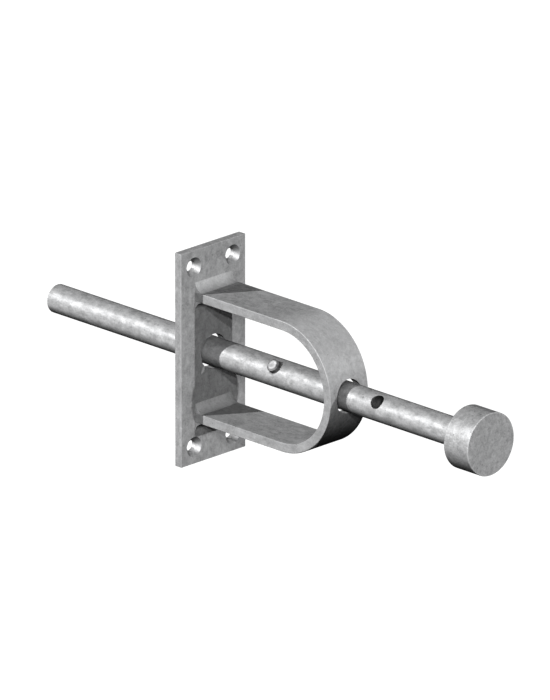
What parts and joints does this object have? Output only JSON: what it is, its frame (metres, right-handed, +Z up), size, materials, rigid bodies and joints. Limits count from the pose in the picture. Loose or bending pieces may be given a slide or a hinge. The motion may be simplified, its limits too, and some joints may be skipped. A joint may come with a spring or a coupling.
{
  "type": "gate shoot bolt",
  "caption": "Galvanised shoot bolt for a gate: a round bar with a knob slides through a screw-on plate and a welded U strap, with a stop pin and a padlock hole.",
  "frame": {"origin": "centre of the screw hole pattern in the back plate's back face, on the axis of the guide holes", "axes": "+X out of the back plate along the bolt towards the knob, +Y across the plate, +Z up"},
  "size_m": [0.4098, 0.0606, 0.1516],
  "materials": {
    "galvanised_steel": "hot-dip galvanised: satin zinc grey with a faint mottle"
  },
  "bodies": {
    "bracket": {"back_plate": "galvanised_steel", "guide_strap": "galvanised_steel", "upper_arm_outer_weld": "galvanised_steel", "upper_arm_inner_weld": "galvanised_steel", "lower_arm_inner_weld": "galvanised_steel", "lower_arm_outer_weld": "galvanised_steel"},
    "bolt": {"bolt_bar": "galvanised_steel", "stop_pin": "galvanised_steel", "pull_knob": "galvanised_steel", "knob_weld": "galvanised_steel"}
  },
  "joints": [
    {"name": "bolt_slide", "type": "slide", "parent": "bracket", "child": "bolt", "axis": [1, 0, 0], "range_m": [-0.0588, 0.0527]}
  ]
}
